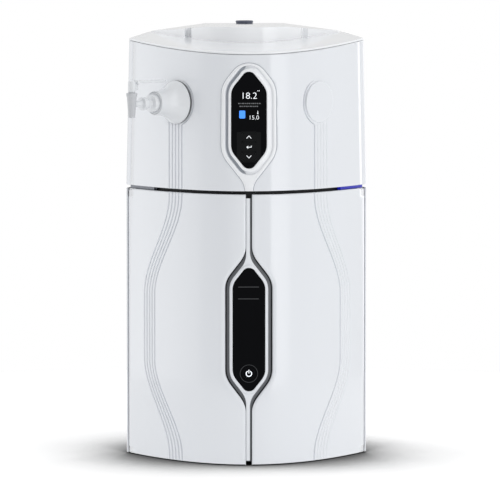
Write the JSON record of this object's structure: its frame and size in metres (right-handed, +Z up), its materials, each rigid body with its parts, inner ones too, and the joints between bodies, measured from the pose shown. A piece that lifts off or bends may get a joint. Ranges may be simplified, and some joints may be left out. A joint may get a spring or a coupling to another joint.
{
  "type": "ultrapure water system",
  "caption": "Bow-fronted white ultrapure water system with a two-door purification cabinet, display module, dispensing tap and rear tube ports.",
  "frame": {"origin": "on the bench under the middle of the cabinet", "axes": "+Z up, the display and doors face -Y, the tap is on the -X side"},
  "size_m": [0.376, 0.3633, 0.675],
  "materials": {
    "gloss_white": "gloss moulded casing",
    "tap_white": "satin moulded tap",
    "black_glass": "polished black window",
    "black_plastic": "matt moulded",
    "rubber": "soft feet",
    "frame_grey": "powder coat",
    "light_guide": "frosted light guide",
    "blue_light": "lit light guide",
    "steel": "brushed",
    "circuit_board": "solder mask",
    "inner_plastic": "matt moulded",
    "pack_white": "semi-gloss cartridge",
    "lamp_glass": "clear quartz",
    "blue_plastic": "push-in collets",
    "dark_blue_plastic": "filter cap",
    "tank_plastic": "translucent tank",
    "smoked_plastic": "grey translucent spout",
    "tube_white": "polyethylene tube"
  },
  "bodies": {
    "cabinet": {"feet": "rubber", "base_plate": "frame_grey", "rear_shell": "gloss_white", "deck_plate": "black_plastic", "seam_frame": "black_plastic", "seam_light_left": "light_guide", "seam_light_right": "blue_light", "spine": "black_plastic", "centre_trim": "gloss_white", "power_panel": "black_glass", "power_board": "circuit_board", "hinge_pins": "steel", "door_catches": "black_plastic", "drip_tray": "inner_plastic", "dock_plate": "inner_plastic", "left_dock": "inner_plastic", "right_dock": "inner_plastic", "ro_module": "pack_white", "uv_reactor": "steel", "uv_lamp": "lamp_glass", "ultrafilter": "pack_white", "pump_motor": "frame_grey", "pump_head": "inner_plastic", "power_supply": "steel", "manifold": "inner_plastic", "inlet_valve": "black_plastic", "conductivity_cell": "steel", "main_board": "circuit_board", "service_panel": "inner_plastic", "tube_ports": "blue_plastic", "power_inlet": "black_plastic", "panel_screws": "steel", "upper_floor": "inner_plastic", "upper_shell": "gloss_white", "upper_rear_cover": "gloss_white", "top_cover": "gloss_white", "vent_filter": "dark_blue_plastic", "reservoir": "tank_plastic", "reservoir_lid": "inner_plastic", "display_bezel": "gloss_white", "display_lens": "black_glass", "display_module": "circuit_board", "tap_flange": "tap_white", "tap_body": "tap_white", "tap_spout": "smoked_plastic", "blank_cap": "gloss_white", "inner_tubes": "tube_white"},
    "left_door": {"left_door": "gloss_white", "left_strike": "steel"},
    "right_door": {"right_door": "gloss_white", "right_strike": "steel"},
    "left_pack": {"left_pack": "pack_white"},
    "right_pack": {"right_pack": "pack_white"},
    "key_up": {"key_up": "black_glass"},
    "key_enter": {"key_enter": "black_glass"},
    "key_down": {"key_down": "black_glass"},
    "power_button": {"power_button": "black_glass"},
    "tap_lever": {"tap_lever": "tap_white"},
    "tap_plunger": {"tap_plunger": "inner_plastic"},
    "pump_rotor": {"pump_rotor": "black_plastic"}
  },
  "joints": [
    {"name": "left_door_hinge", "type": "hinge", "parent": "cabinet", "child": "left_door", "pos_m": [-0.1789, -0.005, 0.21], "axis": [0, 0, -1], "range_deg": [0, 95]},
    {"name": "right_door_hinge", "type": "hinge", "parent": "cabinet", "child": "right_door", "pos_m": [0.1789, -0.005, 0.21], "axis": [0, 0, 1], "range_deg": [0, 95]},
    {"name": "left_pack_release", "type": "slide", "parent": "cabinet", "child": "left_pack", "axis": [0, 0, -1], "range_m": [0, 0.012]},
    {"name": "right_pack_release", "type": "slide", "parent": "cabinet", "child": "right_pack", "axis": [0, 0, -1], "range_m": [0, 0.012]},
    {"name": "key_up_press", "type": "slide", "parent": "cabinet", "child": "key_up", "axis": [0, 0.9998, -0.0192], "range_m": [0, 0.0006], "stiffness_N_per_m": 1500},
    {"name": "key_enter_press", "type": "slide", "parent": "cabinet", "child": "key_enter", "axis": [0, 0.9998, -0.0192], "range_m": [0, 0.0006], "stiffness_N_per_m": 1500},
    {"name": "key_down_press", "type": "slide", "parent": "cabinet", "child": "key_down", "axis": [0, 0.9998, -0.0192], "range_m": [0, 0.0006], "stiffness_N_per_m": 1500},
    {"name": "power_button_press", "type": "slide", "parent": "cabinet", "child": "power_button", "axis": [0, 1, 0], "range_m": [0, 0.0006], "stiffness_N_per_m": 1500},
    {"name": "tap_lever_hinge", "type": "hinge", "parent": "cabinet", "child": "tap_lever", "pos_m": [-0.17092, -0.16675, 0.5903], "axis": [0.6836, -0.7299, 0], "range_deg": [0, 90]},
    {"name": "tap_plunger_lift", "type": "slide", "parent": "cabinet", "child": "tap_plunger", "axis": [0, 0, 1], "range_m": [0, 0.003]},
    {"name": "pump_rotor_spin", "type": "hinge", "parent": "cabinet", "child": "pump_rotor", "pos_m": [-0.076, 0.092, 0.1], "axis": [0, 0, 1], "continuous": true}
  ],
  "couplings": [
    {"joint": "tap_plunger_lift", "follows": "tap_lever_hinge", "m_per_rad": 0.0019098}
  ]
}
